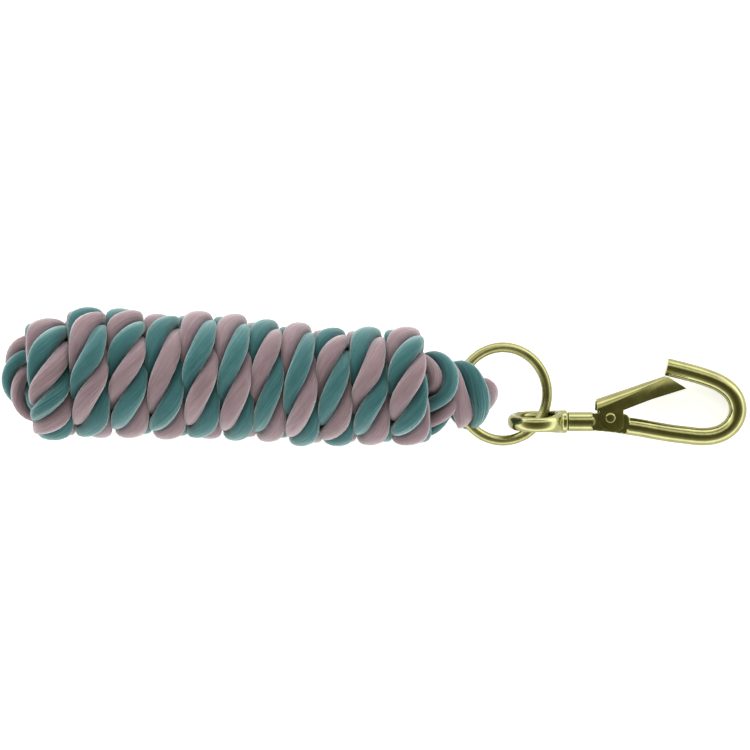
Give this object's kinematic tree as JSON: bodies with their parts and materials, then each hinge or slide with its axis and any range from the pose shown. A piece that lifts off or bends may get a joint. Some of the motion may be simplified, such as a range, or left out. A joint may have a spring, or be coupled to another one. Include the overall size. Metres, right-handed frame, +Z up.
{
  "type": "lead rope",
  "caption": "Twisted cotton lead rope wound into a hank, with a welded ring in its spliced eye and a swivel boat snap with a sprung gate.",
  "frame": {"origin": "on the surface the rope lies on, under the middle of its box", "axes": "+X along the hank towards the ring and the snap, +Y across it, +Z up from the surface it lies on"},
  "size_m": [0.3416, 0.063, 0.0565],
  "materials": {
    "cotton_rope": "matte",
    "ring_brass": "polished",
    "cast_brass": "polished",
    "sheet_brass": "polished",
    "spring_wire": "satin"
  },
  "bodies": {
    "rope": {"rope_hank": "cotton_rope", "rope_core_fold": "cotton_rope", "rope_spliced_eye": "cotton_rope"},
    "ring": {"o_ring": "ring_brass"},
    "eye": {"swivel_eye": "cast_brass"},
    "snap": {"snap_body": "cast_brass", "gate_rivet": "cast_brass"},
    "gate": {"snap_gate": "sheet_brass", "gate_spring": "spring_wire"}
  },
  "joints": [
    {"name": "ring_swing", "type": "hinge", "parent": "rope", "child": "ring", "pos_m": [0.03841, -0.00702, 0.0204], "axis": [0, -1, 0], "range_deg": [-80, 80]},
    {"name": "eye_travel", "type": "hinge", "parent": "ring", "child": "eye", "pos_m": [0.05872, -0.00702, 0.0138], "axis": [0.309, 0, 0.9511], "range_deg": [-40, 85]},
    {"name": "snap_swivel", "type": "hinge", "parent": "eye", "child": "snap", "pos_m": [0.07381, -0.01972, 0.01335], "axis": [0.9951, 0, -0.0985], "continuous": true},
    {"name": "gate_pivot", "type": "hinge", "parent": "snap", "child": "gate", "pos_m": [0.10745, -0.01798, 0.01002], "axis": [-0.0985, 0, -0.9951], "range_deg": [0, 28], "stiffness_Nm_per_rad": 0.06, "springref_deg": -20.05}
  ]
}
